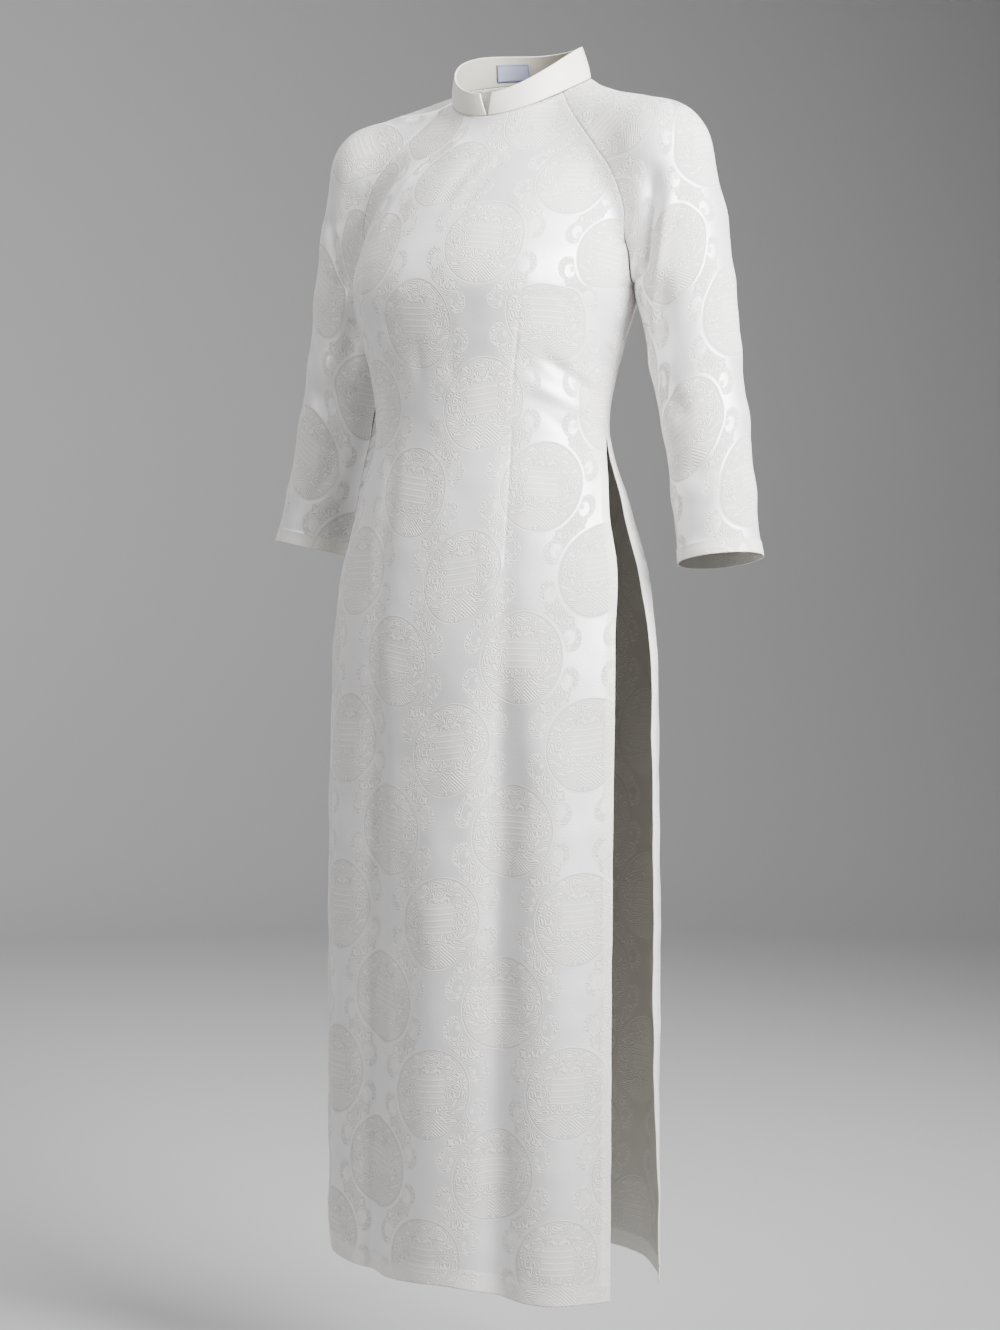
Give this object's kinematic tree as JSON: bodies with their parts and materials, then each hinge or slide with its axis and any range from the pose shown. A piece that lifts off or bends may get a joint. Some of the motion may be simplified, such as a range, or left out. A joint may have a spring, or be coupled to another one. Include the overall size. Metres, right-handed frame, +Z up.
{
  "type": "ao dai tunic",
  "caption": "Long fitted silk tunic in worn form, with a stand collar notched at the front, raglan three-quarter sleeves and side slits from waist to hem.",
  "frame": {"origin": "on the axis of the neckline at neck level, where the wearer's neck and shoulders hold the garment", "axes": "+Z up, -Y towards the front of the garment, +X towards the wearer's left"},
  "size_m": [0.5757, 0.2843, 1.2594],
  "materials": {
    "silk_brocade": "ivory silk damask with a satin ground and a duller woven pattern",
    "collar_satin": "plain cream satin over stiff interfacing",
    "woven_label": "small woven label, blank"
  },
  "bodies": {
    "root": {"front_panel": "silk_brocade", "back_panel": "silk_brocade", "sleeve_left": "silk_brocade", "sleeve_right": "silk_brocade", "collar": "collar_satin", "label": "woven_label"}
  },
  "joints": []
}
